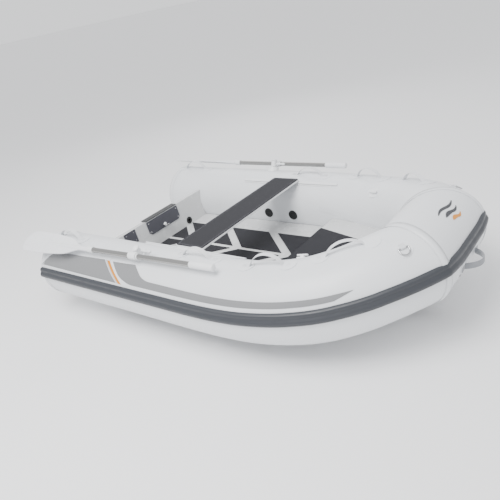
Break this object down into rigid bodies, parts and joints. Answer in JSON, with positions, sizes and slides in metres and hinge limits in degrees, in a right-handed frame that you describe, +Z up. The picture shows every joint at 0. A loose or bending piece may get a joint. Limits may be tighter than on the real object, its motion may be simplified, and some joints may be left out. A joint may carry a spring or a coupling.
{
  "type": "inflatable dinghy",
  "caption": "Rigid-hull inflatable dinghy with moulded deck, sliding seat, stowed oars, rub rail and webbing handles.",
  "frame": {"origin": "under the middle of the boat, on the surface that the keel guard stands on", "axes": "+X towards the bow, +Y to port, +Z up"},
  "size_m": [2.5113, 1.5778, 0.5928],
  "materials": {
    "tube_skin": "coated fabric, satin",
    "rail_rubber": "extruded rubber strake, satin",
    "gelcoat": "gelcoat, satin gloss",
    "core_wood": "marine plywood, sealed",
    "deck_foam": "closed-cell foam deck sheet, brushed",
    "grey_pad": "moulded, fine texture",
    "dark_plastic": "moulded, matt",
    "white_plastic": "moulded nylon, satin",
    "stainless": "polished stainless",
    "oar_alloy": "anodised tube, bright",
    "webbing": "woven webbing",
    "grey_webbing": "woven webbing, folded double",
    "cone_rubber": "moulded cone, matt"
  },
  "bodies": {
    "boat": {"bow_chamber": "tube_skin", "bow_handle": "grey_webbing", "bow_pads": "deck_foam", "chamber_baffles": "tube_skin", "corner_plate": "grey_pad", "deck_moulding": "gelcoat", "drain_socket": "dark_plastic", "floor_stringers": "core_wood", "handle_patches": "tube_skin", "hull_shell": "gelcoat", "inner_motor_pad": "grey_pad", "keel_guard": "rail_rubber", "outer_motor_pad": "grey_pad", "port_chamber": "tube_skin", "port_grab_handles": "webbing", "port_rowlock_base": "white_plastic", "port_rowlock_knob": "white_plastic", "port_rowlock_pin": "stainless", "port_tail_cone": "cone_rubber", "port_valve_bodies": "dark_plastic", "ring_tabs": "webbing", "rub_rail": "rail_rubber", "seat_tracks": "white_plastic", "sole_pads": "deck_foam", "starboard_chamber": "tube_skin", "starboard_grab_handles": "webbing", "starboard_rowlock_base": "white_plastic", "starboard_rowlock_knob": "white_plastic", "starboard_rowlock_pin": "stainless", "starboard_tail_cone": "cone_rubber", "starboard_valve_bodies": "dark_plastic", "strap_anchors": "white_plastic", "transom_cap": "dark_plastic", "transom_core": "core_wood", "transom_eye": "stainless", "transom_eye_nuts": "stainless", "transom_skin": "gelcoat"},
    "seat": {"seat_board": "grey_pad", "seat_pad": "deck_foam", "seat_slides": "white_plastic"},
    "drain_plug": {"drain_plug": "dark_plastic"},
    "port_rowlock": {"port_rowlock_collar": "white_plastic"},
    "port_oar": {"port_oar_shaft": "oar_alloy", "port_oar_grip": "white_plastic", "port_oar_ferrule": "white_plastic", "port_oar_stops": "white_plastic", "port_oar_blade": "white_plastic"},
    "port_aft_cap": {"port_aft_valve_cap": "dark_plastic"},
    "port_fore_cap": {"port_fore_valve_cap": "dark_plastic"},
    "port_ring": {"port_lifting_ring": "stainless"},
    "starboard_rowlock": {"starboard_rowlock_collar": "white_plastic"},
    "starboard_oar": {"starboard_oar_shaft": "oar_alloy", "starboard_oar_grip": "white_plastic", "starboard_oar_ferrule": "white_plastic", "starboard_oar_stops": "white_plastic", "starboard_oar_blade": "white_plastic"},
    "starboard_aft_cap": {"starboard_aft_valve_cap": "dark_plastic"},
    "starboard_fore_cap": {"starboard_fore_valve_cap": "dark_plastic"},
    "starboard_ring": {"starboard_lifting_ring": "stainless"}
  },
  "joints": [
    {"name": "seat_slide", "type": "slide", "parent": "boat", "child": "seat", "axis": [1, 0, 0], "range_m": [-0.235, 0.2]},
    {"name": "drain_plug_pull", "type": "slide", "parent": "boat", "child": "drain_plug", "axis": [-0.9936, 0, -0.1132], "range_m": [0, 0.03]},
    {"name": "port_oar_swing", "type": "hinge", "parent": "boat", "child": "port_rowlock", "pos_m": [-0.27729, 0.64447, 0.52136], "axis": [0, 0.427, 0.9042], "range_deg": [-110, 0]},
    {"name": "port_oar_feather", "type": "hinge", "parent": "port_rowlock", "child": "port_oar", "pos_m": [-0.2761, 0.677, 0.506], "axis": [0.9995, -0.03, 0.0142], "range_deg": [-30, 30]},
    {"name": "port_aft_cap_turn", "type": "hinge", "parent": "boat", "child": "port_aft_cap", "pos_m": [-0.1901, 0.377, 0.28], "axis": [0, -1, 0], "continuous": true},
    {"name": "port_fore_cap_turn", "type": "hinge", "parent": "boat", "child": "port_fore_cap", "pos_m": [-0.0021, 0.377, 0.28], "axis": [0, -1, 0], "continuous": true},
    {"name": "port_ring_lift", "type": "hinge", "parent": "boat", "child": "port_ring", "pos_m": [1.02954, 0.33425, 0.553], "axis": [0.6292, -0.7624, 0.1513], "range_deg": [0, 120]},
    {"name": "starboard_oar_swing", "type": "hinge", "parent": "boat", "child": "starboard_rowlock", "pos_m": [-0.27729, -0.64447, 0.52136], "axis": [0, -0.427, 0.9042], "range_deg": [0, 110]},
    {"name": "starboard_oar_feather", "type": "hinge", "parent": "starboard_rowlock", "child": "starboard_oar", "pos_m": [-0.2761, -0.677, 0.506], "axis": [0.9995, 0.03, 0.0142], "range_deg": [-30, 30]},
    {"name": "starboard_aft_cap_turn", "type": "hinge", "parent": "boat", "child": "starboard_aft_cap", "pos_m": [-0.1901, -0.377, 0.28], "axis": [0, 1, 0], "continuous": true},
    {"name": "starboard_fore_cap_turn", "type": "hinge", "parent": "boat", "child": "starboard_fore_cap", "pos_m": [-0.0021, -0.377, 0.28], "axis": [0, 1, 0], "continuous": true},
    {"name": "starboard_ring_lift", "type": "hinge", "parent": "boat", "child": "starboard_ring", "pos_m": [1.02954, -0.33425, 0.553], "axis": [0.6292, 0.7624, 0.1513], "range_deg": [-120, 0]}
  ]
}
